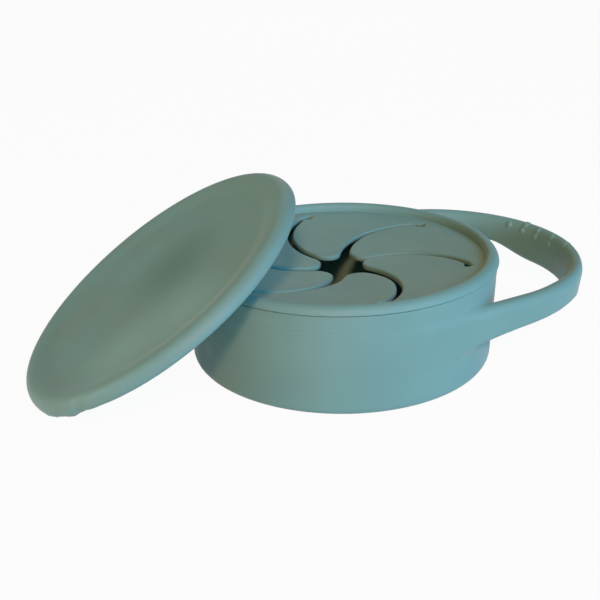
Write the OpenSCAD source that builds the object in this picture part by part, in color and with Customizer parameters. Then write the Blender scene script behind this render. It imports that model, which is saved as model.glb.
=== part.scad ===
// Collapsible toddler snack cup, folded flat on z = 0, with its handle along +X.
// A fold wall lets the collar rise off the base. A snack lid with six curved flaps
// plugs into the collar, and a loose dust lid leans on the cup's rim.

/* [Collar] */
// Outer radius of the collar at its top edge
collar_top_r = 49.5; // [41:0.1:60]
// How much narrower the collar is at its foot
collar_taper = 0.8; // [0.2:0.1:2]
// Height of the collar's top edge when the cup is folded
collar_h = 31.7; // [26:0.1:40]
// Wall of the collar
collar_wall = 3.2; // [2.6:0.1:4]
// Rounding of the collar's lower outer edge
collar_round = 1.8; // [0.5:0.1:2.5]
// Depth of the lip that turns in at the collar's foot
foot_lip_w = 1.5; // [1:0.1:2]
// Thickness of that lip
foot_lip_t = 1.4; // [1:0.1:2]
// Space under the folded collar
floor_gap = 0.3; // [0.2:0.1:0.5]

/* [Base and fold wall] */
// Radial room between the collar and the base, where the fold wall lies
fold_room = 4.9; // [4:0.1:7]
// Thickness of the fold wall
fold_t = 1.2; // [0.8:0.1:1.6]
// Height of the ledge that the fold wall meets at the top of the base
ledge_z = 19.3; // [15:0.1:23]
// Thickness of the ledge
ledge_t = 1.4; // [1:0.1:2]
// Width of the ledge
ledge_w = 1.5; // [1.2:0.1:2]
// Wall of the base
base_wall = 2.2; // [1.6:0.1:3]
// How much narrower the base is at the floor
base_taper = 1.4; // [0.5:0.1:3]
// Thickness of the floor
base_floor = 2.6; // [1.8:0.1:4]
// Rounding of the base where its wall meets the ground
base_round = 3; // [1:0.1:4]

/* [Snack lid] */
// How far the rim stands out past the collar
rim_out = 0.5; // [0.2:0.1:1.5]
// Height of the rim above the collar's top edge
rim_h = 2.7; // [2.4:0.1:5]
// Radius of the rim's rolled edge
rim_round = 2.7; // [1.5:0.1:2.8]
// Width of the rim from its outer edge to the step inside it
rim_w = 5.4; // [5.2:0.1:8]
// Height of the step inside the rim
rim_step = 0.9; // [0.5:0.1:1.4]
// Run of that step, which slopes a little
rim_step_run = 0.4; // [0.3:0.1:1]
// Thickness of the lid's thin centre and of its flaps
flap_t = 1.8; // [1.4:0.1:2.4]
// Height of the lid's centre above the collar's top edge
centre_rise = 0.1; // [0:0.1:0.5]
// Depth of the plug skirt below the collar's top edge
skirt_h = 6.1; // [4:0.1:7]
// Thickness of the plug skirt
skirt_t = 1.6; // [1.2:0.1:2.2]

/* [Flaps] */
// Distance from the ends of the slits to the step inside the rim
slit_margin = 3.6; // [2.6:0.1:6]
// Width of the slits
slit_w = 1.7; // [0.8:0.1:2.4]
// How strongly each slit bows, as the angle between its chord and its centre
slit_bow = 36.2; // [30:0.1:42]
// Direction of the first slit's centre
slit_phase = -19.7; // [-60:0.1:60]
// Rounding of each flap's tip
tip_round = 4.5; // [3:0.1:5]
// How far the flaps sag at rest, in degrees
flap_sag = 6.3; // [0:0.1:9]
// Length of the relief slot at the end of each slit
relief_len = 2.2; // [1.6:0.1:3.5]
// Width of the relief slot
relief_w = 1.5; // [1:0.1:2]

/* [Handle] */
// Clear space for fingers between the collar and the end of the loop
finger_gap = 32; // [24:0.5:45]
// Radius of the loop's round end, to the middle of the strap
loop_r = 45.3; // [34:0.1:48]
// Thickness of the strap at its lower edge
strap_t = 4.4; // [4:0.1:7]
// How much thicker it is at its top, where its outer face leans outwards
strap_flare = 0.8; // [0.2:0.1:1.5]
// Height of the strap at the grip
strap_h = 13.4; // [11:0.1:18]
// Height of the strap's top edge
strap_top = 25.7; // [20:0.1:27]
// Rounding of the strap's edges
strap_round = 2.1; // [1:0.1:2.2]
// How far the strap's outer face starts inside the collar's surface
root_sink = 0.2; // [0.2:0.1:1]
// How far the arms are hollowed from below
waist_rise = 3.7; // [0.5:0.1:5]
// Distance of the hollow's highest point from the cup's centre
waist_x = 54; // [40:1:60]
// Length of the hollow from there towards the grip
waist_to_grip = 20; // [12:1:26]
// Length of the hollow from there towards the cup
waist_to_cup = 43; // [20:1:50]

/* [Grip dots] */
// Radius of the raised grip dots
dot_r = 0.9; // [0.6:0.1:1.2]
// How far the dots stand out
dot_rise = 0.6; // [0.3:0.1:0.8]
// Spacing of the dots along the handle
dot_pitch = 7.2; // [6:0.1:10]
// Distance of the inner row of dots below the strap's top edge
inner_row_drop = 3.1; // [3.1:0.1:7]
// Shift of the inner row's middle along the strap
inner_row_shift = 0.9; // [-6:0.1:6]
// Shift of the top row's middle along the strap
top_row_shift = -4.9; // [-6:0.1:6]
// Number of dots in each row on the handle
dots_in_row = 4; // [2:1:5]
// Spacing of the dots under the pull tab
tab_dot_pitch = 7.5; // [3.5:0.1:8]

/* [Dust lid] */
// How far the dust lid's edge stands out past the snack lid's rim
lid_out = 0.5; // [0.2:0.1:2]
// Radius of the dust lid's upper edge
lid_round = 3.3; // [2:0.1:4]
// Radius of the dust lid's lower edge
lid_under_round = 1.2; // [0.6:0.1:2]
// Width of the raised border, from the edge to the dish
border_w = 9.7; // [8:0.1:14]
// Depth of the dish below the border
dish_depth = 1.8; // [1:0.1:2.2]
// Thickness of the dust lid's panel
panel_t = 2.3; // [1.2:0.1:2.6]
// Depth of the plug ring below the panel
plug_h = 3; // [2:0.1:4]
// Thickness of the plug ring
plug_t = 2; // [1.4:0.1:3]
// Angle of the leaning dust lid to the ground
lean = 33.7; // [20:0.1:50]
// Side of the cup that it leans on
lean_side = 165.5; // [120:0.1:240]
// How far the leaning lid's middle lies to one side of the cup's
lean_slip = 1.4; // [0:0.1:4]
// Direction of the pull tab, from the lid's lowest point
tab_side = 41; // [-180:1:180]
// Width of the pull tab
tab_w = 15; // [12:0.5:34]
// How far the pull tab stands out
tab_out = 0.6; // [0.4:0.1:8]
// Rounding of the tab's corners
tab_round = 2; // [1:0.1:3.5]
// Length of the tab under the border
tab_in = 7; // [4:0.1:8]
// Thickness of the pull tab
tab_t = 2.2; // [1.6:0.1:3]

/* [Fits] */
// Clearance of parts that move past or rest on each other
run_gap = 0.3; // [0.2:0.05:0.4]
// Clearance of the dust lid's plug ring in the snack lid
plug_gap = 0.35; // [0.2:0.05:0.6]

/* [Hidden] */
$fn = 96;
flaps = 6;
over = 1;

collar_foot_r = collar_top_r - collar_taper;
collar_inner_r = collar_top_r - collar_wall;
lip_top = floor_gap + foot_lip_t;
fold_foot_z = lip_top + run_gap;
fold_foot_r = collar_inner_r - run_gap;
base_top_r = collar_inner_r - fold_room;
ledge_r = base_top_r + ledge_w;

rim_r = collar_top_r + rim_out;
rim_top = collar_h + rim_h;
step_r = rim_r - rim_w;
centre_top = collar_h + centre_rise;
centre_low = centre_top - flap_t;
centre_edge_r = step_r - rim_step_run;
skirt_r = collar_inner_r - run_gap;

slit_end_r = step_r - slit_margin;
slit_r = slit_end_r / (2 * cos(slit_bow));
hinge_x = slit_end_r * cos(180 / flaps);
hinge_z = (centre_top + centre_low) / 2;
hinge_dir = slit_phase + slit_bow + 180 / flaps;
bead_len = 2 * slit_end_r * sin(180 / flaps) - 2 * slit_w - 2 * run_gap;

strap_mid_r = collar_foot_r + collar_taper * strap_top / collar_h - root_sink - strap_flare - strap_t / 2;
loop_x = collar_top_r + finger_gap + strap_t / 2 - loop_r;
arm_turn = asin((strap_mid_r - loop_r) / loop_x);
arm_len = loop_x * cos(arm_turn);
arm_lap = 1;
arm_slim = 0.02;

lid_r = rim_r + lid_out;
dish_top = lid_round - dish_depth;
panel_low = dish_top - panel_t;
plug_r = centre_edge_r - plug_gap;
// The lowest edge of the leaning lid touches the ground, and its panel rests on the rim's roll.
lid_z = max((lid_r - lid_under_round) * sin(lean) + lid_under_round,
            (lid_r - lid_under_round) * sin(lean) + lid_under_round * cos(lean));
rim_support = (rim_r - rim_round) * sin(lean) + (rim_top - rim_round) * cos(lean) + rim_round;
lid_x = (rim_support + run_gap - panel_low - lid_z * cos(lean)) / sin(lean);

// Points of an arc about [x, y], from one angle to another
function arc(x, y, r, from, to, steps = 8) =
    [for (i = [0 : steps]) let (a = from + (to - from) * i / steps) [x + r * cos(a), y + r * sin(a)]];

// Points of a smooth step from one point to another, level at both ends
function ease(p, q, steps = 8) =
    [for (i = [1 : steps - 1]) let (t = i / steps, k = (1 - cos(180 * t)) / 2)
        [p[0] + (q[0] - p[0]) * t, p[1] + (q[1] - p[1]) * k]];

// Centre of a circle that is d0 from p0 and d1 from p1, on the side nearer the origin
function meet(p0, d0, p1, d1) =
    let (v = p1 - p0, d = norm(v), u = v / d, along = (d0 * d0 - d1 * d1 + d * d) / (2 * d),
         side = sqrt(d0 * d0 - along * along), foot = p0 + along * u, n = [-u[1], u[0]],
         a = foot + side * n, b = foot - side * n)
    norm(a) < norm(b) ? a : b;

function polar(r, a) = [r * cos(a), r * sin(a)];

module round_rect(w, h, r) {
    square([w - 2 * r, h], center = true);
    square([w, h - 2 * r], center = true);
    for (x = [-1, 1], y = [-1, 1]) translate([x * (w / 2 - r), y * (h / 2 - r)]) circle(r);
}

// A shallow dome with radius dot_r where it meets a face, standing dot_rise above it
module dot() {
    ball_r = (dot_r * dot_r + dot_rise * dot_rise) / (2 * dot_rise);
    translate([0, 0, dot_rise - ball_r]) sphere(ball_r, $fn = 32);
}

// ---- Base, fold wall and collar ----

module base_cup() {
    foot_r = base_top_r - base_taper;
    inner_top_r = base_top_r - base_wall;
    inner_foot_r = foot_r - base_wall;
    color("#5f8f93") rotate_extrude() polygon(concat(
        [[0, 0]],
        arc(foot_r - base_round, base_round, base_round, -90, 0),
        [[base_top_r, ledge_z], [ledge_r, ledge_z]],
        arc(ledge_r - ledge_t / 2, ledge_z + ledge_t / 2, ledge_t / 2, 0, 90),
        [[inner_top_r, ledge_z + ledge_t]],
        arc(inner_foot_r - base_round, base_floor + base_round, base_round, 0, -90),
        [[0, base_floor]]));
}

module fold_wall() {
    color("#78a8aa") rotate_extrude() polygon([
        [fold_foot_r - fold_t, fold_foot_z], [fold_foot_r, fold_foot_z],
        [ledge_r, ledge_z], [ledge_r - fold_t, ledge_z]]);
}

module collar_outline() {
    lead = foot_lip_t / 2;
    polygon(concat(
        arc(collar_foot_r - collar_round, floor_gap + collar_round, collar_round, -90, 0),
        [[collar_top_r, collar_h], [collar_inner_r + lead, collar_h],
         [collar_inner_r, collar_h - lead], [collar_inner_r, lip_top],
         [collar_inner_r - foot_lip_w, lip_top], [collar_inner_r - foot_lip_w, floor_gap]]));
}

module collar() {
    color("#74a2a5") rotate_extrude() collar_outline();
}

// ---- Handle ----

// The strap's section: its inner face is upright, and its outer face leans outwards to the top
module strap_section(inset = 0) {
    r = strap_round - inset;
    in_x = strap_round - strap_t / 2;
    low = [strap_t / 2 - strap_round, strap_top - strap_h + strap_round];
    high = [strap_t / 2 - strap_round + strap_flare, strap_top - strap_round];
    leaning = atan(strap_flare / (high[1] - low[1]));
    polygon(concat(
        arc(in_x, low[1], r, 180, 270, 5), arc(low[0], low[1], r, 270, 360 - leaning, 5),
        arc(high[0], high[1], r, -leaning, 90, 5), arc(in_x, high[1], r, 90, 180, 5)));
}

// A straight arm, a hair slimmer than the loop's end that it runs into
module strap_arm() {
    rotate([0, 0, arm_turn - 90]) translate([strap_mid_r, arm_len + arm_lap, 0])
        rotate([90, 0, 0]) linear_extrude(arm_len + arm_lap) strap_section(arm_slim);
}

module loop_end() {
    translate([loop_x, 0, 0]) rotate([0, 0, arm_turn - 90])
        rotate_extrude(angle = 180 - 2 * arm_turn) translate([loop_r, 0]) strap_section();
}

// Two staggered rows of dots at the loop's end: on its top edge and high on its inner face
module handle_dots() {
    step = dot_pitch / loop_r * 180 / PI;
    first = -(dots_in_row - 1) / 2;
    translate([loop_x, 0, 0]) for (i = [0 : dots_in_row - 1]) {
        rotate([0, 0, (first + i + top_row_shift / dot_pitch) * step])
            translate([loop_r + strap_flare / 2, 0, strap_top]) dot();
        rotate([0, 0, (first + i + inner_row_shift / dot_pitch) * step])
            translate([loop_r - strap_t / 2, 0, strap_top - inner_row_drop]) rotate([0, -90, 0]) dot();
    }
}

// Half of the hollow under the arms: an arc from its highest point, len long
module hollow_half(len) {
    r = (len * len + waist_rise * waist_rise) / (2 * waist_rise);
    intersection() {
        translate([0, strap_top - strap_h + waist_rise - r]) circle(r);
        translate([0, strap_top - strap_h - over]) square([len + over, waist_rise + 2 * over]);
    }
}

module handle() {
    color("#6f9c9b") difference() {
        union() {
            loop_end();
            strap_arm();
            mirror([0, 1, 0]) strap_arm();
            handle_dots();
        }
        rotate_extrude() polygon([[0, -over], [collar_foot_r - collar_taper * over / collar_h, -over],
            [collar_top_r + collar_taper * over / collar_h, collar_h + over], [0, collar_h + over]]);
        translate([waist_x, 0, 0]) rotate([90, 0, 0]) linear_extrude(4 * collar_top_r, center = true) {
            hollow_half(waist_to_grip);
            mirror([1, 0]) hollow_half(waist_to_cup);
        }
    }
}

// ---- Snack lid and its flaps ----

module snack_lid_outline() {
    roll_x = rim_r - rim_round;
    roll_z = rim_top - rim_round;
    polygon(concat(
        [[hinge_x / 2, centre_top], [centre_edge_r, centre_top], [step_r, centre_top + rim_step]],
        arc(roll_x, roll_z, rim_round, 125, 0, 12),
        [[collar_top_r, collar_h], [skirt_r, collar_h]],
        arc(skirt_r - skirt_t / 2, collar_h - skirt_h + skirt_t / 2, skirt_t / 2, 0, -180),
        [[skirt_r - skirt_t, centre_low], [hinge_x / 2, centre_low]]));
}

module snack_lid() {
    hole_x = hinge_x + flap_t / 2 + run_gap;
    color("#7aa5a2") difference() {
        rotate_extrude() snack_lid_outline();
        translate([0, 0, centre_low - over]) rotate([0, 0, hinge_dir + 180 / flaps])
            cylinder(h = flap_t + 2 * over, r = hole_x / cos(180 / flaps), $fn = flaps);
        for (k = [0 : flaps - 1]) rotate([0, 0, slit_phase + 360 / flaps * k]) relief_slot();
    }
}

module relief_slot() {
    translate([polar(slit_end_r, slit_bow)[0], polar(slit_end_r, slit_bow)[1], centre_low - over])
        rotate([0, 0, 2 * slit_bow - 90]) {
            translate([0, -relief_w / 2, 0]) cube([relief_len - relief_w / 2, relief_w, flap_t + 2 * over]);
            translate([relief_len - relief_w / 2, 0, 0]) cylinder(h = flap_t + 2 * over, r = relief_w / 2);
        }
}

// One flap lies inside the circle of the next slit and outside the circle of its own.
// Its tip is a circle that touches both.
module flap_plan() {
    c0 = polar(slit_r, slit_phase);
    c1 = polar(slit_r, slit_phase + 360 / flaps);
    outer_r = slit_r + slit_w / 2;
    inner_r = slit_r - slit_w / 2;
    tip = meet(c0, outer_r + tip_round, c1, inner_r - tip_round);
    t0 = c0 + outer_r * (tip - c0) / norm(tip - c0);
    t1 = c1 + inner_r * (tip - c1) / norm(tip - c1);
    cut_dir = atan2(t1[1] - t0[1], t1[0] - t0[0]);
    translate(tip) circle(tip_round);
    difference() {
        intersection() {
            translate(c1) circle(inner_r);
            rotate(hinge_dir) translate([hinge_x - 2 * slit_end_r, -slit_end_r])
                square([2 * slit_end_r, 2 * slit_end_r]);
        }
        translate(c0) circle(outer_r);
        translate(t0) rotate(cut_dir) mirror([0, cut_side(t0, t1) > 0 ? 0 : 1])
            translate([-slit_end_r, 0]) square([2 * slit_end_r, slit_end_r]);
    }
}

// Which side of the line from p to q the origin lies on
function cut_side(p, q) = (q[0] - p[0]) * (0 - p[1]) - (q[1] - p[1]) * (0 - p[0]);

// The flap turns about a round bead that runs along its root.
module flap(k) {
    color("#68807b") rotate([0, 0, hinge_dir + 360 / flaps * k])
        translate([hinge_x, 0, hinge_z]) rotate([0, -flap_sag, 0]) {
            translate([-hinge_x, 0, -flap_t / 2]) rotate([0, 0, -hinge_dir])
                linear_extrude(flap_t) flap_plan();
            rotate([90, 0, 0]) cylinder(h = bead_len, r = flap_t / 2, center = true);
        }
}

// ---- Dust lid ----

module dust_lid_outline() {
    polygon(concat(
        [[0, panel_low], [plug_r - plug_t, panel_low]],
        arc(plug_r - plug_t / 2, panel_low - plug_h + plug_t / 2, plug_t / 2, -180, 0),
        [[plug_r, -lid_under_round]],
        arc(lid_r - lid_under_round, 0, lid_under_round, -90, 0),
        arc(lid_r - lid_round, 0, lid_round, 0, 90),
        ease([lid_r - lid_round, lid_round], [lid_r - border_w, dish_top]),
        [[lid_r - border_w, dish_top], [0, dish_top]]));
}

module pull_tab() {
    rotate([0, 0, tab_side]) {
        translate([lid_r + (tab_out - tab_in) / 2, 0, -lid_under_round])
            linear_extrude(tab_t) round_rect(tab_in + tab_out, tab_w, tab_round);
        for (i = [-0.5, 0.5]) translate([lid_r + tab_out - 1.3 * dot_r, i * tab_dot_pitch, -lid_under_round])
            mirror([0, 0, 1]) dot();
        for (i = [-0.5, 0.5]) translate([lid_r + tab_out - 5 * dot_r, i * tab_dot_pitch, -lid_under_round])
            mirror([0, 0, 1]) dot();
    }
}

module dust_lid() {
    color("#687f78") rotate([0, 0, lean_side]) translate([lid_x, lean_slip, lid_z]) rotate([0, lean, 0]) {
        rotate_extrude() dust_lid_outline();
        pull_tab();
    }
}

base_cup();
fold_wall();
collar();
handle();
snack_lid();
flap(0);  // flap_1
flap(1);  // flap_2
flap(2);  // flap_3
flap(3);  // flap_4
flap(4);  // flap_5
flap(5);  // flap_6
dust_lid();
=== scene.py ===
import math

import bmesh
import bpy
import numpy as np
from mathutils import Matrix, Vector
from mathutils.geometry import delaunay_2d_cdt


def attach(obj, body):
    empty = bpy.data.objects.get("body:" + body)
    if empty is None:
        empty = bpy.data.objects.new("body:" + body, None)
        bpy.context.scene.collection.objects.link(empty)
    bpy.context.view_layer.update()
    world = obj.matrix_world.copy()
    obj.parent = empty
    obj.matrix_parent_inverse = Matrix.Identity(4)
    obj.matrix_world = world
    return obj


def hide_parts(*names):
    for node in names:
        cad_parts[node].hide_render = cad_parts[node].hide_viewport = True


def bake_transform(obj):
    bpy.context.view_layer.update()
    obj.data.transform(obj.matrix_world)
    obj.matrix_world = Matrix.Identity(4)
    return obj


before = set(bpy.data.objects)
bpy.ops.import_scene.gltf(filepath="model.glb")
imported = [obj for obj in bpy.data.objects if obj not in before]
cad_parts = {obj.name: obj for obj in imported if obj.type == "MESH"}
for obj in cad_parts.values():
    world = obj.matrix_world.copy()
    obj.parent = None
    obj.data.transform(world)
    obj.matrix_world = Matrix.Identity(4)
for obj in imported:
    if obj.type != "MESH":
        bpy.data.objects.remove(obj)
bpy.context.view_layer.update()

# ---- Base of the cup ----
# The cup is one moulding of silicone rubber. Its base is the thick, stiff part that it
# stands on: a flat floor, a wall that widens upwards and a ledge that the fold grows from.


def linear(code):
    """A colour socket's linear value for an sRGB hex code."""
    parts = [int(code[i:i + 2], 16) / 255 for i in (1, 3, 5)]
    return [c / 12.92 if c <= 0.04045 else ((c + 0.055) / 1.055) ** 2.4 for c in parts] + [1.0]


def put(tree, kind, sockets=None, **settings):
    """Adds a node with its settings. sockets gives each input its value or what feeds it."""
    node = tree.nodes.new(kind)
    for name, value in settings.items():
        setattr(node, name, value)
    for socket, value in (sockets or {}).items():
        if isinstance(value, bpy.types.NodeSocket):
            tree.links.new(value, node.inputs[socket])
        else:
            node.inputs[socket].default_value = value
    return node


def moulded_silicone(name, colour, bloom, streaks=0.0, tone_patches_and_painted_light=()):
    """Silicone rubber moulded in an eroded steel tool: dull, slightly waxy, with a soft sheen
    at grazing angles. Handling leaves a faint cloudy bloom on it, bloom, a few centimetres wide.
    The extra patches are soft-edged, each a centre in millimetres, a reach and a colour; the paler
    ones are painted light."""
    cloud_mm, mottle_mm, grain_mm, streak_mm = 26, 6, 0.5, 1.6
    material = bpy.data.materials.new(name)
    material.use_nodes = True
    tree = material.node_tree
    tree.nodes.clear()
    place = put(tree, "ShaderNodeTexCoord").outputs["Object"]
    cloud = put(tree, "ShaderNodeTexNoise", {"Vector": place, "Scale": 1000 / cloud_mm,
                                             "Detail": 2.0, "Roughness": 0.45})
    share = put(tree, "ShaderNodeMapRange", {"Value": cloud.outputs["Fac"], "From Min": 0.35,
                                             "From Max": 0.68})
    tint = put(tree, "ShaderNodeMix", {"Factor": share.outputs["Result"], "A": linear(colour),
                                       "B": linear(bloom)}, data_type="RGBA").outputs["Result"]
    # Soft patches of another colour are mixed in here; the paler ones are painted light.
    for centre, reach_mm, patch_colour in tone_patches_and_painted_light:
        scale = 1000 / reach_mm
        patch = put(tree, "ShaderNodeMapping", {"Vector": place, "Scale": (scale,) * 3,
                                                "Location": [-c / reach_mm for c in centre]})
        ball = put(tree, "ShaderNodeTexGradient", {"Vector": patch.outputs["Vector"]},
                   gradient_type="SPHERICAL")
        soft = put(tree, "ShaderNodeMapRange", {"Value": ball.outputs["Fac"]},
                   interpolation_type="SMOOTHSTEP")
        tint = put(tree, "ShaderNodeMix", {"Factor": soft.outputs["Result"], "A": tint,
                                           "B": linear(patch_colour)}, data_type="RGBA").outputs["Result"]
    mottle = put(tree, "ShaderNodeTexNoise", {"Vector": place, "Scale": 1000 / mottle_mm,
                                              "Detail": 3.0, "Roughness": 0.55})
    dull = put(tree, "ShaderNodeMapRange", {"Value": mottle.outputs["Fac"], "From Min": 0.3,
                                            "From Max": 0.7, "To Min": 0.5, "To Max": 0.6})
    grain = put(tree, "ShaderNodeTexNoise", {"Vector": place, "Scale": 1000 / grain_mm,
                                             "Detail": 2.0, "Roughness": 0.6})
    height = grain.outputs["Fac"]
    if streaks:
        # Wiping and the tool's draw leave faint upright streaks on a tall wall.
        upright = put(tree, "ShaderNodeMapping", {"Vector": place, "Scale": (1.0, 1.0, 0.04)})
        streak = put(tree, "ShaderNodeTexNoise", {"Vector": upright.outputs["Vector"],
                                                  "Scale": 1000 / streak_mm, "Detail": 1.0})
        height = put(tree, "ShaderNodeMath", {0: streak.outputs["Fac"], 1: streaks, 2: height},
                     operation="MULTIPLY_ADD").outputs["Value"]
    skin = put(tree, "ShaderNodeBump", {"Height": height, "Strength": 0.25, "Distance": 0.00006})
    body = put(tree, "ShaderNodeBsdfPrincipled", {
        "Base Color": tint, "Roughness": dull.outputs["Result"],
        "Normal": skin.outputs["Normal"], "IOR": 1.41, "Sheen Weight": 0.25,
        "Sheen Roughness": 0.4, "Sheen Tint": linear("#CFE0E2")})
    put(tree, "ShaderNodeOutputMaterial", {"Surface": body.outputs["BSDF"]})
    return material


def arc(x, y, radius, start, end, steps=8, rise=None):
    """Points of an arc about (x, y), between two directions in degrees. With a rise it is
    part of an ellipse of that half height."""
    turns = np.radians(np.linspace(start, end, steps + 1))
    return [(x + radius * math.cos(a), y + (rise or radius) * math.sin(a)) for a in turns]


def line(start, end, steps):
    """Points from start to end, without end."""
    return [tuple(np.add(start, np.subtract(end, start) * i / steps)) for i in range(steps)]


def moulding(name, points, faces, material, crease=40):
    """A smooth mesh piece from points in millimetres, with edges past crease degrees left sharp."""
    mesh = bpy.data.meshes.new(name)
    mesh.from_pydata((np.asarray(points, float) / 1000).tolist(), [], faces)
    mesh.validate()
    mesh.shade_smooth()
    mesh.set_sharp_from_angle(angle=math.radians(crease))
    mesh.materials.append(material)
    piece = bpy.data.objects.new(name, mesh)
    bpy.context.scene.collection.objects.link(piece)
    return piece


def turned(outline, around=216, turns=None):
    """Points and faces of a closed outline of (radius, height), run counter-clockwise, turned
    about the Z axis. A point on the axis is made once."""
    turns = np.linspace(0, 2 * math.pi, around, endpoint=False) if turns is None else turns
    count, points, rows = len(turns), [], []
    for r, z in outline:
        first = len(points)
        if r < 1e-6:
            rows.append([first] * count)
            points.append((0.0, 0.0, z))
        else:
            rows.append(list(range(first, first + count)))
            points += [(r * math.cos(a), r * math.sin(a), z) for a in turns]
    faces = []
    for low, high in zip(rows, rows[1:] + rows[:1]):
        for i in range(count):
            j = (i + 1) % count
            corners = list(dict.fromkeys((low[i], low[j], high[j], high[i])))
            if len(corners) > 2:
                faces.append(corners)
    return points, faces


cup_silicone = moulded_silicone("cup silicone", "#6EA098", "#74A69C", streaks=0.5)

# Radii and heights along the base's section, in millimetres.
foot_r, foot_round, floor_thick = 37.0, 3.0, 2.6
outside_low, outside_high = (40.05, 3.6), (41.2, 18.0)
ledge_r, ledge_z, ledge_round = 42.2, 20.0, 0.7
under_ledge_r, under_ledge_z, under_ledge_round = 41.9, 18.8, 0.5
brim_r, brim_z, brim_round = 39.6, 20.3, 0.4
inside_high, inside_low = (39.1, 19.0), (37.9, 6.2)
corner_r, corner_z, corner_round = 34.8, 5.6, 3.0
base_outline = (
    [(0, 0)] + line((3, 0), (foot_r - 0.6, 0), 6)
    + arc(foot_r, foot_round, foot_round, -90, -2, 8)
    + line(outside_low, outside_high, 6)
    + arc(under_ledge_r, under_ledge_z, under_ledge_round, 180, 90, 3)
    + arc(ledge_r, ledge_z, ledge_round, -90, 90, 8)
    + arc(brim_r, brim_z, brim_round, 90, 180, 3)
    + line(inside_high, inside_low, 6)
    + arc(corner_r, corner_z, corner_round, 0, -90, 8)
    + line((corner_r - 1.8, floor_thick), (0, floor_thick), 6) + [(0, floor_thick)])
base = moulding("cup_base", *turned(base_outline), cup_silicone)
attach(base, "base")
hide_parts("base_cup")

# ---- Fold wall ----
# A thin cone of the same moulding between the base's ledge and the collar's foot. It is drawn as it
# lies upside down while the cup is folded; on the cup it turns right side out as the collar is
# pulled up, but here it keeps its folded form.

fold_top, fold_foot = (42.9, 19.6), (46.0, 1.8)
fold_thick, fold_rows = 1.2, 28
down_outside = line(fold_foot, fold_top, fold_rows) + [fold_top]
fold_outline = down_outside + [(r - fold_thick, z) for r, z in reversed(down_outside)]
fold = moulding("fold_wall_skin", *turned(fold_outline), cup_silicone)
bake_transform(fold)
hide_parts("fold_wall")

# ---- Collar and handle ----
# The collar is the cup's outer wall, with a lip that turns in at its foot and two faint
# witness lines below its top. The loop handle is a strap that runs off it as a tangent on
# both sides, deepest at the grip. Both are one moulding, so small fillets join them.

collar_foot_r, collar_top_r, collar_h = 48.7, 49.5, 31.7
collar_inner_r, lip_inner_r, lip_top, floor_gap = 46.3, 44.8, 1.7, 0.3
witness_lines, witness_depth, witness_half = (25.1, 26.5), 0.09, 0.22
strap_root_r, loop_x, loop_r, arm_turn = 46.15, 38.1, 45.6, math.radians(0.83)
strap_thick, strap_flare, strap_top, strap_deep = 4.4, 0.8, 25.7, 13.4
low_round, high_round = 2.1, 2.55
waist_rise, waist_x, waist_to_root, waist_to_grip, waist_bend = 3.7, 54.0, 43.0, 22.0, 1.55
grip_x, far_waist_run, far_waist_share = 83.7, 4.6, 1.03
root_sink, buried, join = 0.07, 0.9, 2.6

arm_out = np.array([math.sin(arm_turn), math.cos(arm_turn)])
arm_along = np.array([math.cos(arm_turn), -math.sin(arm_turn)])
arm_root = strap_root_r * arm_out
arm_len = loop_x * math.cos(arm_turn)
half_loop = arm_len + loop_r * (math.pi / 2 - arm_turn)


def collar_radius(z):
    """Outer radius of the collar's wall at a height."""
    return collar_foot_r + (collar_top_r - collar_foot_r) * z / collar_h


def strap_place(x, y):
    """How far along the strap a point lies, from its root, and how far outside its middle."""
    y = np.abs(y)
    rel = np.stack([x, y], -1) - arm_root
    on_arm, off_arm = rel @ arm_along, rel @ arm_out
    turn = np.arctan2(y, x)
    behind = strap_root_r * (turn - (math.pi / 2 - arm_turn))
    off_behind = np.hypot(x, y) - strap_root_r + root_sink * behind
    loop_turn = np.arctan2(y, x - loop_x)
    on_loop = arm_len + loop_r * (math.pi / 2 - arm_turn - loop_turn)
    off_loop = np.hypot(x - loop_x, y) - loop_r
    along = np.where(on_arm < 0, -behind, np.where(on_arm > arm_len, on_loop, on_arm))
    off = np.where(on_arm < 0, off_behind, np.where(on_arm > arm_len, off_loop, off_arm))
    return along, off


def strap_foot(x, far):
    """Height of the strap's lower edge, which is hollowed along the arms. The far arm's hollow
    starts right at the grip, because the soft loop hangs a little askew."""
    to_grip = np.clip((x - waist_x) / waist_to_grip, 0, 1)
    to_root = np.clip((waist_x - x) / waist_to_root, 0, 1)
    from_grip = np.clip((grip_x - x) / far_waist_run, 0, 1)
    hollow = np.where(far, far_waist_share * np.sin(from_grip * math.pi / 2),
                      np.cos(to_grip ** waist_bend * math.pi / 2) ** 2)
    return strap_top - strap_deep + waist_rise * (hollow - to_root ** 2)


def strap_width(z):
    """Half the strap's thickness, how far its middle leans out, and its edges' rounding. Its
    inner face is upright, and its outer face leans outwards to the top."""
    share = np.clip((z - strap_top + strap_deep) / strap_deep, 0, 1)
    return (strap_thick + strap_flare * share) / 2, strap_flare * share / 2, (
        low_round + (high_round - low_round) * share)


def outside_strap(p):
    """Distance of points from the strap's surface, negative inside."""
    along, off = strap_place(p[:, 0], p[:, 1])
    foot = strap_foot(p[:, 0], p[:, 1] > 0)
    half = (strap_top - foot) / 2
    wide, lean, edge = strap_width(p[:, 2])
    q = np.stack([np.abs(off - lean) - (wide - edge),
                  np.abs(p[:, 2] - foot - half) - (half - edge)], -1)
    return np.linalg.norm(np.maximum(q, 0), axis=1) + np.minimum(q.max(1), 0) - edge


def outside_collar(p):
    """Distance of points from the collar's outer wall, negative inside."""
    return np.hypot(p[:, 0], p[:, 1]) - collar_radius(p[:, 2])


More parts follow.
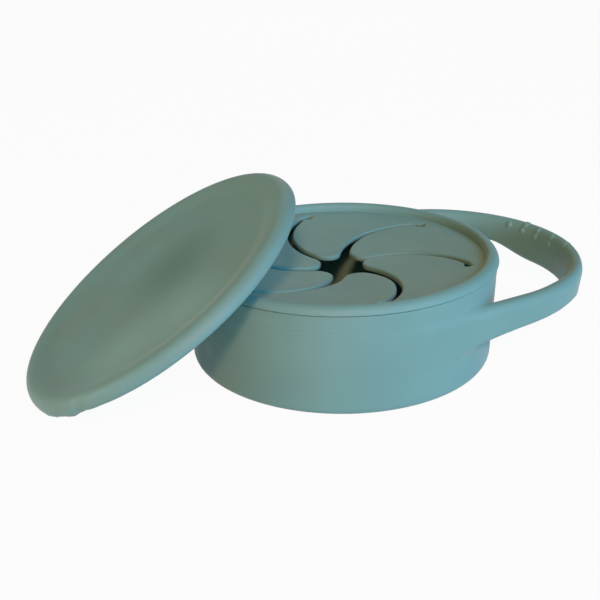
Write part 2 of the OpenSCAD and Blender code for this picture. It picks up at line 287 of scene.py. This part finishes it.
def filleted(p, other):
    """Moves the points near where strap and collar meet onto one rounded joint. Each surface
    dives a little under the other past the joint's middle, so that only one of them shows."""
    on_surface, dive_from, dive_run, dive_share, step_mm = 0.6, 0.05, 0.5, 0.6, 0.01
    p = np.array(p, float)
    first = other(p)
    own = outside_collar(p) if other is outside_strap else outside_strap(p)
    near = (np.abs(first) < join) & (np.abs(own) < on_surface)
    q, dive = p[near], np.clip(-first[near] - dive_from, 0, dive_run) * dive_share

    def joint(at):
        a, b = outside_strap(at), outside_collar(at)
        overlap = np.maximum(join - np.abs(a - b), 0) / join
        return np.minimum(a, b) - overlap ** 2 * join / 4 + dive
    for _ in range(6):
        slope = np.stack([(joint(q + step) - joint(q - step)) / (2 * step_mm)
                          for step in np.eye(3) * step_mm], -1)
        q = q - slope * (joint(q) / np.maximum((slope ** 2).sum(1), 0.2))[:, None]
    p[near] = q
    return p


wall_from, wall_rows, foot_edge, top_edge, lip_edge = 2.1, 46, 1.8, 0.45, 0.3
wall_heights = sorted(
    list(np.linspace(wall_from, collar_h - top_edge, wall_rows))
    + [w + d for w in witness_lines for d in (-witness_half, 0.0, witness_half)])
outer_wall = [(collar_radius(z) - (witness_depth if z in witness_lines else 0), z)
              for z in wall_heights]
collar_outline = (
    line((lip_inner_r + lip_edge, floor_gap), (collar_foot_r - foot_edge, floor_gap), 2)
    + arc(collar_foot_r - foot_edge, floor_gap + foot_edge, foot_edge, -90, -8, 8) + outer_wall
    + arc(collar_top_r - top_edge, collar_h - top_edge, top_edge, 20, 90, 4)
    + [(collar_inner_r + 0.7, collar_h), (collar_inner_r + 0.15, collar_h - 0.4)]
    + line((collar_inner_r, collar_h - 0.9), (collar_inner_r, lip_top), 10)
    + [(collar_inner_r, lip_top), (lip_inner_r + lip_edge, lip_top)]
    + arc(lip_inner_r + lip_edge, lip_top - lip_edge, lip_edge, 90, 180, 2)
    + arc(lip_inner_r + lip_edge, floor_gap + lip_edge, lip_edge, 180, 240, 2))
# The wall is divided finely where the strap's two ends run into it.
root_from, root_to = 52, 104
root_turns = np.radians(np.linspace(root_from, root_to, 132))
far_turns = np.radians(np.linspace(root_to, 360 - root_to, 122)[1:-1])
near_turns = np.radians(np.linspace(-root_from, root_from, 86)[1:-1])
collar_turns = np.concatenate([near_turns, root_turns, far_turns, 2 * math.pi - root_turns[::-1]])
points, faces = turned(collar_outline, turns=collar_turns)
points = np.array(points)
on_wall = np.hypot(points[:, 0], points[:, 1]) > collar_foot_r - 1.0
points[on_wall] = filleted(points[on_wall], outside_strap)
collar = moulding("collar_wall", points, faces, cup_silicone)
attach(collar, "collar")
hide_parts("collar")

# The strap is drawn as rounded sections set along its path, from inside the wall round the
# loop and back. What would reach through the wall is drawn up into its thickness. Its top
# edges roll over more softly round the loop than near the cup, most of all on the inner face.
side_rows, edge_rows, starts_at, fine_to = 12, 10, -9, 34
soft_from, soft_run, soft_in, soft_out, soft_shift = 50.0, 20.0, 4.6, 0.7, 0.9


def softness(x):
    """How far the strap's section has its soft form, 0 to 1."""
    share = np.clip((x - soft_from) / soft_run, 0, 1)
    return share * share * (3 - 2 * share)


def inner_top(soft, steps):
    """The section's rounded run from its crest over to the inner face."""
    wide, lean, edge = strap_width(strap_top)
    rise, shift = edge + soft_in * soft, soft_shift * soft
    return arc(lean - wide + edge + shift, strap_top - rise, edge + shift, 90, 180, steps, rise)


def strap_section(foot, soft):
    """A rounded section above a lower edge, outer face first, as (offset, height)."""
    (wide0, lean0, edge0), (wide1, lean1, edge1) = strap_width(foot), strap_width(strap_top)
    over, shift = edge1 + soft_out * soft, soft_shift * soft
    inner = inner_top(soft, edge_rows)
    return (line((lean0 + wide0, foot + edge0), (lean1 + wide1, strap_top - over), side_rows)
            + arc(lean1 + wide1 - edge1 + shift, strap_top - over, edge1 - shift, 0, 90,
                  edge_rows, over)
            + inner[:-1] + line(inner[-1], (lean0 - wide0, foot + edge0), side_rows)
            + arc(lean0 - wide0 + edge0, foot + edge0, edge0, 180, 270, edge_rows)
            + arc(lean0 + wide0 - edge0, foot + edge0, edge0, 270, 360, edge_rows)[:-1])


def strap_middle(along):
    """The strap's middle line at a distance from its root, and the way outwards there."""
    if along < 0:
        turn = math.pi / 2 - arm_turn - along / strap_root_r
        out = np.array([math.cos(turn), math.sin(turn)])
        return (strap_root_r + root_sink * along) * out, out
    if along < arm_len:
        return arm_root + along * arm_along, arm_out
    turn = math.pi / 2 - arm_turn - (along - arm_len) / loop_r
    out = np.array([math.cos(turn), math.sin(turn)])
    return np.array([loop_x, 0]) + loop_r * out, out


half_stations = np.concatenate([np.linspace(starts_at, fine_to, 72),
                                np.linspace(fine_to, half_loop, 64)[1:]])
stations = [(a, 1) for a in half_stations] + [(a, -1) for a in half_stations[-2::-1]]
points = []
for along, side in stations:
    middle, out = strap_middle(along)
    foot = float(strap_foot(middle[0], side > 0))
    points += [(middle[0] + off * out[0], side * (middle[1] + off * out[1]), up)
               for off, up in strap_section(foot, softness(middle[0]))]
ring = len(points) // len(stations)
faces = [(i * ring + j, i * ring + (j + 1) % ring,
          (i + 1) * ring + (j + 1) % ring, (i + 1) * ring + j)
         for i in range(len(stations) - 1) for j in range(ring)]
faces += [tuple(range(ring))[::-1], tuple(range((len(stations) - 1) * ring, len(stations) * ring))]
points = filleted(points, outside_collar)
radius = np.hypot(points[:, 0], points[:, 1])
deepest = collar_radius(points[:, 2]) - buried
points[:, :2] *= np.maximum(1, deepest / radius)[:, None]
handle = moulding("handle_loop", points, faces, cup_silicone)
bm = bmesh.new()
bm.from_mesh(handle.data)
bmesh.ops.recalc_face_normals(bm, faces=bm.faces)
bm.to_mesh(handle.data)
bm.free()
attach(handle, "collar")
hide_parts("handle")

# ---- Grip dots on the handle ----
# Eight low domes moulded with the strap where fingers close on it, in two staggered rows:
# one along its top edge, one high on its inner face.

dot_r, dot_rise = 1.3, 0.5
# Each row's seats: the turn round the loop's end, in degrees, and how far inwards over the
# strap's rounded top the seat lies.
top_row = ((6.9, 1.18), (-1.3, 1.73), (-11.3, 1.9), (-22.8, 1.58))
inner_row = ((15.4, 2.99), (7.4, 3.82), (-1.3, 4.33), (-11.8, 4.76))


def dome_tree(material):
    """Geometry nodes that stand a low dome on each point, turned to the point's facing."""
    tree = bpy.data.node_groups.new("grip domes", "GeometryNodeTree")
    tree.interface.new_socket("Seats", in_out="INPUT", socket_type="NodeSocketGeometry")
    tree.interface.new_socket("Dome radius", in_out="INPUT", socket_type="NodeSocketFloat")
    tree.interface.new_socket("Dome rise", in_out="INPUT", socket_type="NodeSocketFloat")
    tree.interface.new_socket("Domes", in_out="OUTPUT", socket_type="NodeSocketGeometry")
    given = put(tree, "NodeGroupInput")
    r, rise = given.outputs["Dome radius"], given.outputs["Dome rise"]
    rr = put(tree, "ShaderNodeMath", {0: r, 1: r}, operation="MULTIPLY").outputs[0]
    both = put(tree, "ShaderNodeMath", {0: rise, 1: rise, 2: rr},
               operation="MULTIPLY_ADD").outputs[0]
    twice = put(tree, "ShaderNodeMath", {0: rise, 1: 2.0}, operation="MULTIPLY").outputs[0]
    ball_r = put(tree, "ShaderNodeMath", {0: both, 1: twice}, operation="DIVIDE").outputs[0]
    drop = put(tree, "ShaderNodeMath", {0: rise, 1: ball_r}, operation="SUBTRACT").outputs[0]
    down = put(tree, "ShaderNodeCombineXYZ", {"Z": drop})
    ball = put(tree, "GeometryNodeMeshUVSphere", {"Segments": 24, "Rings": 14, "Radius": ball_r})
    sunk = put(tree, "GeometryNodeTransform", {"Geometry": ball.outputs["Mesh"],
                                               "Translation": down.outputs["Vector"]})
    facing = put(tree, "GeometryNodeInputNamedAttribute", {"Name": "facing"},
                 data_type="FLOAT_VECTOR")
    turn = put(tree, "FunctionNodeAlignRotationToVector",
               {"Vector": facing.outputs["Attribute"]}, axis="Z")
    stood = put(tree, "GeometryNodeInstanceOnPoints", {
        "Points": given.outputs["Seats"], "Instance": sunk.outputs["Geometry"],
        "Rotation": turn.outputs["Rotation"]})
    real = put(tree, "GeometryNodeRealizeInstances", {"Geometry": stood.outputs["Instances"]})
    smooth = put(tree, "GeometryNodeSetShadeSmooth", {"Geometry": real.outputs["Geometry"]})
    painted = put(tree, "GeometryNodeSetMaterial", {"Geometry": smooth.outputs["Geometry"],
                                                    "Material": material})
    put(tree, "NodeGroupOutput", {"Domes": painted.outputs["Geometry"]})
    return tree


def domes(name, seats, facings, material, dome_r, dome_rise):
    """A piece of domes standing on seats, in millimetres, each facing its own way."""
    mesh = bpy.data.meshes.new(name)
    mesh.from_pydata((np.array(seats) / 1000).tolist(), [], [])
    facing = mesh.attributes.new("facing", "FLOAT_VECTOR", "POINT")
    facing.data.foreach_set("vector", np.array(facings, np.float32).ravel())
    carrier = bpy.data.objects.new(name, mesh)
    bpy.context.scene.collection.objects.link(carrier)
    stand = carrier.modifiers.new("domes", "NODES")
    stand.node_group = dome_tree(material)
    sizes = {"Dome radius": dome_r / 1000, "Dome rise": dome_rise / 1000}
    for item in stand.node_group.interface.items_tree:
        if item.name in sizes:
            stand[item.identifier] = sizes[item.name]
    bpy.context.view_layer.update()
    result = bpy.data.meshes.new_from_object(
        carrier.evaluated_get(bpy.context.evaluated_depsgraph_get()))
    carrier.modifiers.remove(stand)
    carrier.data = result
    return carrier


seats, facings = [], []
run = np.array(inner_top(1, 90))
run_length = np.append(0, np.cumsum(np.linalg.norm(np.diff(run, axis=0), axis=1)))


def on_run(over):
    """Offset and height of the rounded top, at a distance inwards from its crest."""
    return [np.interp(over, run_length, run[:, i]) for i in (0, 1)]


for turn, over in top_row + inner_row:
    out = np.array([math.cos(math.radians(turn)), math.sin(math.radians(turn)), 0])
    (off, up), (off1, up1) = on_run(over), on_run(over + 0.1)
    facing = (up1 - up) * out - [0, 0, off1 - off]
    seats.append((loop_r + off) * out + [loop_x, 0, up])
    facings.append(facing / np.linalg.norm(facing))
grip_dots = domes("handle_grip_dots", seats, facings, cup_silicone, dot_r, dot_rise)
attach(grip_dots, "collar")

# ---- Snack lid ----
# A second moulding that plugs into the collar: a rolled rim with a step inside it, and a
# skirt that grips the collar's wall. A fine groove shows where rim and collar meet.

lid_silicone = moulded_silicone("snack lid silicone", "#6EA098", "#74A69C")
rim_r, rim_top, rim_round = 50.0, 34.4, 2.7
step_foot_r, skin_z = 45.6, 31.8
skirt_r, skirt_thick, skirt_foot = 46.0, 1.6, 25.6
skin_thick = 1.8

crest_x, crest_z = rim_r - rim_round, rim_top - rim_round
fall = np.radians(np.linspace(0, 90, 15)[1:])
foot_z = skin_z + 0.1
shoulder = arc(crest_x, crest_z, rim_round, 8, 90, 14) + [
    (crest_x - (crest_x - step_foot_r) * math.sin(t), foot_z + (rim_top - foot_z) * math.cos(t))
    for t in fall]
skin_low = skin_z - skin_thick
groove_r, groove_round = collar_top_r - 0.35, 0.25
step_root = [(step_foot_r - 0.05, skin_z), (step_foot_r - 0.1, skin_z - 0.15),
             (step_foot_r - 0.1, skin_low - 0.3), (skirt_r - skirt_thick + 0.3, skin_low - 0.4),
             (skirt_r - skirt_thick, skin_low - 1.0)]
lid_outline = (
    [(skirt_r, collar_h - 0.6)] + arc(skirt_r + 0.4, collar_h + 0.02, 0.35, 180, 90, 3)
    + [(groove_r - 0.4, collar_h + 0.05)]
    + arc(groove_r, collar_h + 0.05 + groove_round, groove_round, -90, -20, 4)
    + shoulder + step_root
    + arc(skirt_r - skirt_thick / 2, skirt_foot + skirt_thick / 2, skirt_thick / 2, 180, 360, 10)
    + line((skirt_r, skirt_foot + 1.2), (skirt_r, collar_h - 0.6), 3))
snack_lid = moulding("snack_lid_rim", *turned(lid_outline, 288), lid_silicone)
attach(snack_lid, "snack_lid")
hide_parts("snack_lid")

# ---- Flaps ----
# The lid's thin skin is cut by six curved slits into flaps that a small hand pushes through.
# Each lies between the circles of two slits, ends in a round tip and sags towards the middle.
# Each slit ends in a small hooked relief hole that keeps it from tearing.

slit_r, slit_phase, slit_bow, slit_w = 25.40, -19.7, 38.05, 1.7
slit_end_r, hole_r, hole_from_middle, hole_turn = 40.0, 1.3, 40.7, -3.45
tip_round, edge_round = 4.5, 0.62
sag, sag_r, sag_power, flap_count = 3.5, 42.0, 1.5, 6
# How each flap's tip has taken its own set, in millimetres. The shift fades out along the flap.
tip_set = ((1.05, -0.6, 0.6), (0.0, 0.0, 0.4), (-1.65, 0.9, -0.45),
           (-0.5, -0.9, -0.85), (0.6, -0.35, 0.2), (2.3, -1.25, 0.2))
set_from, set_full, set_power = 26.0, 7.0, 1.15
skin_edge_r, outline_step, fill_step, fill_clear = 45.65, 0.5, 1.5, 1.15
# Where a flap starts and ends its bend: distances from the lid's axis, the turn past its first
# slit's circle, and the height of the skin's middle.
bend_from, bend_to, bend_turn, bend_z = 37.0, 29.0, 66.2, 30.9


def polar(radius, degrees):
    """A point of the plan at a distance from the axis and a turn."""
    return radius * np.array([math.cos(math.radians(degrees)), math.sin(math.radians(degrees))])


def circle_run(centre, radius, start, end):
    """Points on a circle from start to end, the short way round, without the end."""
    a0, a1 = (math.atan2(*(p - centre)[::-1]) for p in (start, end))
    sweep = (a1 - a0 + math.pi) % (2 * math.pi) - math.pi
    steps = max(2, round(abs(sweep) * radius / outline_step))
    turns = [a0 + sweep * i / steps for i in range(steps)]
    return [centre + radius * np.array([math.cos(a), math.sin(a)]) for a in turns]


def straight_run(start, end):
    """Points on a straight line from start to end, without the end."""
    steps = max(1, round(np.linalg.norm(end - start) / outline_step))
    return [np.array(p) for p in line(start, end, steps)]


def tip_circle(c0, c1):
    """Centre of the tip's circle, outside slit circle c0 and inside slit circle c1."""
    d0, d1 = slit_r + slit_w / 2 + tip_round, slit_r - slit_w / 2 - tip_round
    gap = np.linalg.norm(c1 - c0)
    unit = (c1 - c0) / gap
    along = (d0 ** 2 - d1 ** 2 + gap ** 2) / (2 * gap)
    side = math.sqrt(d0 ** 2 - along ** 2)
    both = [c0 + along * unit + s * side * np.array([-unit[1], unit[0]]) for s in (1, -1)]
    return min(both, key=np.linalg.norm)


def slit_end(k):
    """The end of slit k, the way its neck runs on, and the centre of its relief hole."""
    at = slit_phase + slit_bow + 60 * k
    end, hole = polar(slit_end_r, at), polar(hole_from_middle, at + hole_turn)
    return end, (hole - end) / np.linalg.norm(hole - end), hole


def flap_outline(k):
    """The flap's closed outline, counter-clockwise, and for each point whether it is on a slit."""
    c0, c1 = polar(slit_r, slit_phase + 60 * k), polar(slit_r, slit_phase + 60 * (k + 1))
    tip = tip_circle(c0, c1)
    touch0 = c0 + (slit_r + slit_w / 2) * (tip - c0) / np.linalg.norm(tip - c0)
    touch1 = c1 + (slit_r - slit_w / 2) * (tip - c1) / np.linalg.norm(tip - c1)
    end0, ahead0, hole0 = slit_end(k)
    end1, ahead1, hole1 = slit_end(k + 1)
    half, neck = slit_w / 2, math.sqrt(hole_r ** 2 - slit_w ** 2 / 4)
    out0, out1 = (h / np.linalg.norm(h) for h in (hole0, hole1))
    side0 = half * np.array([-ahead0[1], ahead0[0]])
    side1 = half * np.array([-ahead1[1], ahead1[0]])
    start, finish = skin_edge_r * out0, skin_edge_r * out1
    run = circle_run(np.zeros(2), skin_edge_r, start, finish)
    run += straight_run(finish, hole1 + hole_r * out1)
    closed = len(run)
    run += circle_run(hole1, hole_r, hole1 + hole_r * out1, hole1 + hole_r * ahead1)
    run += circle_run(hole1, hole_r, hole1 + hole_r * ahead1, hole1 - neck * ahead1 - side1)
    run += straight_run(hole1 - neck * ahead1 - side1, end1 - side1)
    run += circle_run(c1, slit_r - half, end1 - side1, touch1)
    run += circle_run(tip, tip_round, touch1, touch0)
    run += circle_run(c0, slit_r + half, touch0, end0 + side0)
    run += straight_run(end0 + side0, hole0 - neck * ahead0 + side0)
    run += circle_run(hole0, hole_r, hole0 - neck * ahead0 + side0, hole0 + hole_r * out0)
    slit_stop = len(run)
    run += straight_run(hole0 + hole_r * out0, start)
    on_slit = [closed <= i <= slit_stop for i in range(len(run))]
    return np.array(run), np.array(on_slit)


def apart(p, run, wanted):
    """Distance of points from those edges of a closed outline whose two ends are wanted."""
    ahead = np.roll(run, -1, 0)
    use = wanted & np.roll(wanted, -1)
    a, b = run[use], ahead[use]
    span = b - a
    t = np.clip(((p[:, None] - a) * span).sum(2) / (span ** 2).sum(1), 0, 1)
    return np.linalg.norm(p[:, None] - a - t[..., None] * span, axis=2).min(1)


def within(p, run):
    """Whether each point is inside a closed outline."""
    (x0, y0), (x1, y1) = run.T, np.roll(run, -1, 0).T
    x, y = p[:, :1], p[:, 1:]
    with np.errstate(divide="ignore", invalid="ignore"):
        crosses = ((y0 > y) != (y1 > y)) & (x < (x1 - x0) * (y - y0) / (y1 - y0) + x0)
    return crosses.sum(1) % 2 == 1


run, on_slit = flap_outline(0)
every = np.ones(len(run), bool)
ahead = np.roll(run, -1, 0) - np.roll(run, 1, 0)
inward = np.stack([-ahead[:, 1], ahead[:, 0]], 1) / np.linalg.norm(ahead, axis=1)[:, None]
plan = [run]
for lean in (22.5, 45, 67.5, 90):
    inset = edge_round * (1 - math.cos(math.radians(lean)))
    row = (run + inward * inset)[on_slit]
    plan.append(row[apart(row, run, every) > inset * 0.97])
rows_high = fill_step * math.sqrt(3) / 2
grid = np.array([(x + fill_step / 2 * (j % 2), j * rows_high)
                 for j in range(-30, 60) for x in np.arange(-45, 46, fill_step)])
grid = grid[within(grid, run)]
plan.append(grid[apart(grid, run, every) > fill_clear])
plan = np.concatenate(plan)
closed_loop = [(i, (i + 1) % len(run)) for i in range(len(run))]
flat, _, triangles, sources, *_ = delaunay_2d_cdt(
    [Vector(p) for p in plan], closed_loop, [], 1, 1e-5)
flat = np.array([tuple(p) for p in flat])
place_of = {s: i for i, group in enumerate(sources) for s in group}
radius = np.hypot(*flat.T)
from_edge = np.minimum(apart(flat, run, on_slit), edge_round)
rounding = edge_round - np.sqrt(edge_round ** 2 - (edge_round - from_edge) ** 2)
middle = skin_z - sag * (1 - np.minimum(radius / sag_r, 1) ** sag_power)
top = np.column_stack([flat, middle - rounding])
under = np.column_stack([flat, middle - skin_thick + rounding])
count = len(flat)


def turns_left(face):
    """Whether a flat triangle's corners run counter-clockwise."""
    a, b, c = (flat[i] for i in face[:3])
    return (b[0] - a[0]) * (c[1] - a[1]) > (b[1] - a[1]) * (c[0] - a[0])


triangles = [list(f) if turns_left(f) else list(f)[::-1] for f in triangles]
faces = triangles + [[count + i for i in reversed(f)] for f in triangles]
for i, j in closed_loop:
    a, b = place_of[i], place_of[j]
    faces.append([count + a, count + b, b, a])
flap_points = np.concatenate([top, under])
share = (set_from - np.hypot(*flap_points[:, :2].T)) / (set_from - set_full)
share = np.clip(share, 0, 1) ** set_power
for k in range(flap_count):
    turn = math.radians(60 * k)
    spun = flap_points @ np.array([[math.cos(turn), math.sin(turn), 0],
                                   [-math.sin(turn), math.cos(turn), 0], [0, 0, 1]])
    spun += share[:, None] * tip_set[k]
    body, root = f"flap_{k + 1}", slit_phase + bend_turn + 60 * k
    flap = moulding(f"{body}_skin", spun, faces, lid_silicone)
    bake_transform(flap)
    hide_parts(body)

# ---- Dust lid ----
# The third moulding is a round lid that leans on the rim: a thin dished panel inside a thick,
# softly rounded border, with a ring beneath that plugs into the snack lid. On one side the
# border swells into a short straight-edged pull tab, with grip dots beneath.

lean_angle, lean_side, lean_slip, lid_r, lid_under_round = 33.7, 165.5, 1.4, 50.5, 1.2
dish_r, dish_z, dish_sag, crest_in_r, crest_height, panel_low = 38.5, 1.5, 0.8, 47.2, 3.3, -0.8
plug_r, plug_thick, plug_foot, rest_gap = 43.85, 2.0, -3.8, 0.3
# The pull tab along the edge, which runs out more slowly on its low side: degrees from its
# middle, how far it stands out past the border, and how square its lower edge is.
tab_side, tab_edge_round = 41.0, 0.35
tab_edge = ((-31, 0, 0), (-25, 0.16, 1), (-14, 0.42, 1), (-10, 0.74, 1), (-6.5, 0.74, 1),
            (-3.5, 0.6, 1), (0, 0.56, 1), (1.5, 0.62, 1), (3, 0.8, 1), (5.3, 0.86, 1),
            (6.2, 0.78, 1), (7.0, 0.35, 1), (7.7, 0.08, 0.8), (9.6, 0.0, 0.5),
            (10.6, -0.12, 0.2), (11.8, 0.18, 0), (14, 0.22, 0), (18, 0, 0))


def lid_in_place():
    """The leaning lid's place: its lower edge on the ground and its panel on the rim's roll."""
    lean = math.radians(lean_angle)
    up = (lid_r - lid_under_round) * math.sin(lean) + lid_under_round
    support = crest_x * math.sin(lean) + crest_z * math.cos(lean) + rim_round
    along = (support + rest_gap - panel_low - up * math.cos(lean)) / math.sin(lean)
    return (Matrix.Rotation(math.radians(lean_side), 4, "Z")
            @ Matrix.Translation((along, lean_slip, up)) @ Matrix.Rotation(lean, 4, "Y"))


leaning = np.array(lid_in_place())


def leaned(points):
    """Points given on the lid's own axis, where they lie on the leaning lid."""
    return np.asarray(points, float) @ leaning[:3, :3].T + leaning[:3, 3]


def on_lid(radius, degrees, height=0.0):
    """A point of the leaning lid, from its own radius, turn and height."""
    return leaned((*polar(radius, degrees), height))


# The dish is a little darker near its middle; the two paler patches along its lower side are
# painted light, standing in for shading of the dish's slope.
dust_silicone = moulded_silicone("dust lid silicone", "#6EA098", "#70978B", tone_patches_and_painted_light=(
    (on_lid(8, 200, 1), 24, "#5E8A80"), (on_lid(31, 62, 1), 25, "#7CAEA4"),
    (on_lid(31, 100, 1), 22, "#7CAEA4")))

to_dish = [(crest_in_r + (dish_r - crest_in_r) * t,
            crest_height + (dish_z - crest_height) * (t * t * (3 - 2 * t)))
           for t in np.linspace(0, 1, 13)[1:]]
under_r, edge_r = plug_r + 1.5, lid_r - lid_under_round
dust_outline = (
    [(0, panel_low)] + line((5, panel_low), (plug_r - plug_thick - 0.5, panel_low), 8)
    + arc(plug_r - plug_thick - 0.5, panel_low - 0.5, 0.5, 90, 0, 3)
    + arc(plug_r - plug_thick / 2, plug_foot + plug_thick / 2, plug_thick / 2, -180, 0, 10)
    + [(plug_r, -lid_under_round - 0.4)]
    + arc(plug_r + 0.4, -lid_under_round - 0.4, 0.4, 150, 90, 2)
    + line((under_r, -lid_under_round), (edge_r, -lid_under_round), 4)
    + arc(edge_r, 0, lid_under_round, -90, 0, 8)[:-1]
    + arc(lid_r - crest_height, 0, crest_height, 0, 90, 14) + to_dish
    + [(r, dish_z - dish_sag * (1 - (r / dish_r) ** 2)) for r in np.linspace(dish_r - 1.2, 0, 16)])
# The lid is divided finely along the tab, which spans these turns to either side of its middle.
tab_from, tab_to = -34, 20
tab_turns = tab_side + np.linspace(tab_from, tab_to, 199)
rest_turns = np.linspace(tab_side + tab_to, tab_side + 360 + tab_from, 247)[1:-1]
lid_turns = np.radians(np.concatenate([tab_turns, rest_turns]))
points, faces = turned(dust_outline, turns=lid_turns)
points = np.array(points)
radius, height = np.hypot(*points[:, :2].T), points[:, 2]
from_tab = (np.degrees(np.arctan2(points[:, 1], points[:, 0])) - tab_side + 180) % 360 - 180
turns_at, stands_out, squareness = np.array(tab_edge, float).T
out = np.interp(from_tab, turns_at, stands_out)
square = np.interp(from_tab, turns_at, squareness)
lower = (radius > edge_r) & (height <= 0)
reach = np.where(lower, 1, np.clip((radius - under_r) / (edge_r - under_r), 0, 1))
reach = np.where(height > 0, np.where(radius > crest_in_r, 1 - height / crest_height, 0), reach)
swing = np.stack([(radius - edge_r) / lid_under_round, height / lid_under_round], 1)[lower]
squared = (lid_under_round - tab_edge_round) * np.array([1, -1]) + tab_edge_round * swing
squared = squared * square[lower, None] + lid_under_round * swing * (1 - square[lower, None])
new_radius = radius.copy()
new_radius[lower], points[lower, 2] = edge_r + squared[:, 0], squared[:, 1]
new_radius += out * reach
points[:, :2] *= (new_radius / np.maximum(radius, 1e-6))[:, None]

dust_lid = moulding("dust_lid_panel", leaned(points), faces, dust_silicone)
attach(dust_lid, "dust_lid")
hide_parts("dust_lid")

tab_dot_r, tab_dot_rise = 1.15, 0.62
tab_dots_at = ((50.0, -4.8), (50.0, 4.8), (46.8, -5.2), (46.8, 5.2))
seats = [on_lid(r, tab_side + a, -lid_under_round) for r, a in tab_dots_at]
tab_dots = domes("dust_lid_tab_dots", seats, [-leaning[:3, 2]] * len(seats), dust_silicone,
                 tab_dot_r, tab_dot_rise)
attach(tab_dots, "dust_lid")

# ---- Floor, lights and camera ----
# The cup stands on a plain white table under soft studio light: a small warm lamp by the
# camera, a tall cool window in front on the right, weak fills and an even pale surround.

reach_m = 6
floor_mesh = bpy.data.meshes.new("floor")
corners = [(x * reach_m, y * reach_m, 0) for x, y in ((-1, -1), (1, -1), (1, 1), (-1, 1))]
floor_mesh.from_pydata(corners, [], [(0, 1, 2, 3)])
floor_paint = bpy.data.materials.new("white table top")
floor_paint.use_nodes = True
tree = floor_paint.node_tree
tree.nodes.clear()
ray = put(tree, "ShaderNodeLightPath")
matt = put(tree, "ShaderNodeBsdfDiffuse", {"Color": linear("#DADADA")})
glow = put(tree, "ShaderNodeEmission", {"Color": (1, 1, 1, 1), "Strength": 1.0})
lifted = put(tree, "ShaderNodeMixShader", {0: 0.95, 1: matt.outputs[0], 2: glow.outputs[0]})
seen = put(tree, "ShaderNodeMath", {0: ray.outputs["Is Camera Ray"],
                                    1: ray.outputs["Is Glossy Ray"]}, operation="MAXIMUM")
both = put(tree, "ShaderNodeMixShader", {0: seen.outputs[0], 1: matt.outputs[0],
                                         2: lifted.outputs[0]})
put(tree, "ShaderNodeOutputMaterial", {"Surface": both.outputs[0]})
floor_mesh.materials.append(floor_paint)
floor = bpy.data.objects.new("floor", floor_mesh)
bpy.context.scene.collection.objects.link(floor)

world = bpy.data.worlds.new("pale surround")
world.use_nodes = True
tree = world.node_tree
tree.nodes.clear()
ray = put(tree, "ShaderNodeLightPath")
surround = put(tree, "ShaderNodeBackground", {"Color": linear("#FFE79C"), "Strength": 0.12})
white = put(tree, "ShaderNodeBackground", {"Color": (1, 1, 1, 1), "Strength": 1.0})
both = put(tree, "ShaderNodeMixShader", {0: ray.outputs["Is Camera Ray"], 1: surround.outputs[0],
                                         2: white.outputs[0]})
put(tree, "ShaderNodeOutputWorld", {"Surface": both.outputs[0]})
bpy.context.scene.world = world

# Name, where it stands and its side (metres), power (watts) and colour. All face the cup.
for name, at, side, power, colour in (
        ("key lamp", (-0.495, -0.835, 0.705), 0.14, 9.0, "#FFB38A"),
        ("window, low", (0.231, -1.151, 0.249), 0.5, 8.5, "#81CBFF"),
        ("window, high", (0.394, -0.845, 0.755), 0.5, 6.0, "#83C6FF"),
        ("left fill", (-1.112, 0.376, 0.249), 0.5, 5.1, "#DDF1FF"),
        ("back fill", (0.522, 0.954, 0.507), 0.5, 1.0, "#FFFFE3")):
    lamp = bpy.data.lights.new(name, "AREA")
    lamp.size, lamp.energy, lamp.color = side, power, linear(colour)[:3]
    stand = bpy.data.objects.new(name, lamp)
    stand.location = at
    stand.rotation_euler = (Vector((0, 0, 0.02)) - Vector(at)).to_track_quat("-Z", "Y").to_euler()
    bpy.context.scene.collection.objects.link(stand)

view_turn, view_down, view_roll = math.radians(28.66), 0.402017, -0.0213264
camera = bpy.data.objects.new("camera", bpy.data.cameras.new("camera"))
camera.data.sensor_width, camera.data.lens = 36.0, 54.717
camera.matrix_world = (
    Matrix.Translation((-0.14380, -0.23530, 0.133115)) @ Matrix.Rotation(-view_turn, 4, "Z")
    @ Matrix.Rotation(math.pi / 2 - view_down, 4, "X") @ Matrix.Rotation(view_roll, 4, "Z"))
camera.data.clip_start, camera.data.clip_end = 0.01, 20
bpy.context.scene.collection.objects.link(camera)
bpy.context.scene.camera = camera
bpy.context.scene.view_settings.view_transform = "Standard"
